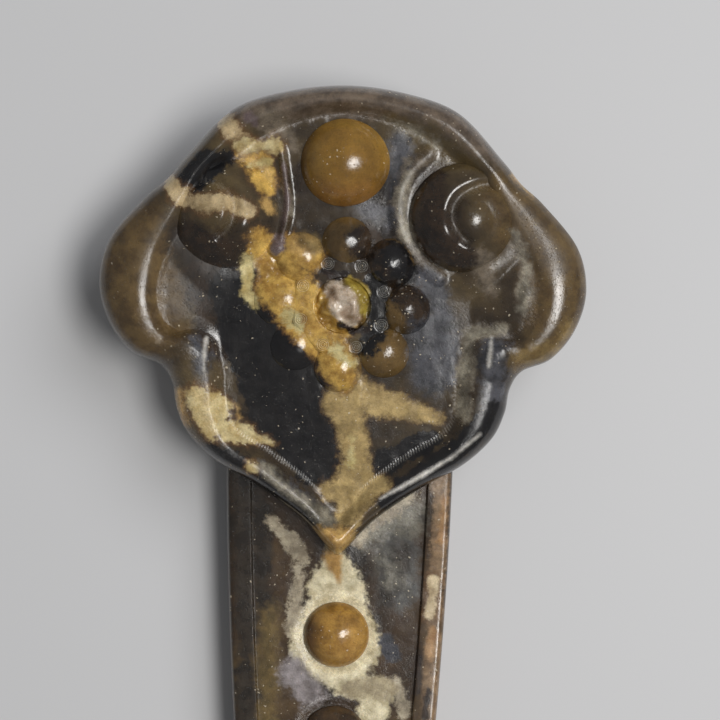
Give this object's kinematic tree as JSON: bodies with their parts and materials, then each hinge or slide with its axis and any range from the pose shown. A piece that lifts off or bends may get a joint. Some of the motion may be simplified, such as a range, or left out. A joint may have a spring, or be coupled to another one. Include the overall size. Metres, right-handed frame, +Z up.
{
  "type": "ruyi scepter",
  "caption": "Stone ruyi scepter lying face up: a cloud-shaped head plate with a set flower, pearl and scrolls, on an arched shaft with a row of bosses and a small cloud-shaped tail plate.",
  "frame": {"origin": "on the table under the middle of the length and width", "axes": "+Y along the length from the tail to the head, +Z up out of the face, +X to the right of someone who looks down on the face with the head away from them"},
  "size_m": [0.097, 0.336, 0.0294],
  "materials": {
    "stone_dark": "polished, dark brown and black mottled jade with cream and amber veins",
    "stone_olive": "polished, translucent olive brown jade",
    "stone_amber": "polished, honey amber jade",
    "stone_cream": "polished, cream and grey jade",
    "brass_pin": "turned"
  },
  "bodies": {
    "root": {"head_plate": "stone_dark", "pearl": "stone_olive", "left_cloud_scroll": "stone_olive", "right_cloud_scroll": "stone_olive", "flower_disc": "stone_dark", "flower_centre": "stone_cream", "flower_petal_1": "stone_olive", "flower_petal_2": "stone_olive", "flower_petal_3": "stone_olive", "flower_petal_4": "stone_olive", "flower_petal_5": "stone_olive", "flower_petal_6": "stone_olive", "flower_petal_7": "stone_olive", "flower_petal_8": "stone_olive", "shaft": "stone_dark", "tail_plate": "stone_dark", "tail_boss": "stone_amber", "head_dowels": "brass_pin", "tail_dowels": "brass_pin", "shaft_boss_1": "stone_amber", "shaft_boss_2": "stone_amber", "shaft_boss_3": "stone_amber", "shaft_boss_4": "stone_amber", "shaft_boss_5": "stone_amber", "shaft_boss_6": "stone_amber", "shaft_boss_7": "stone_amber", "shaft_boss_8": "stone_amber", "shaft_boss_9": "stone_amber"}
  },
  "joints": []
}
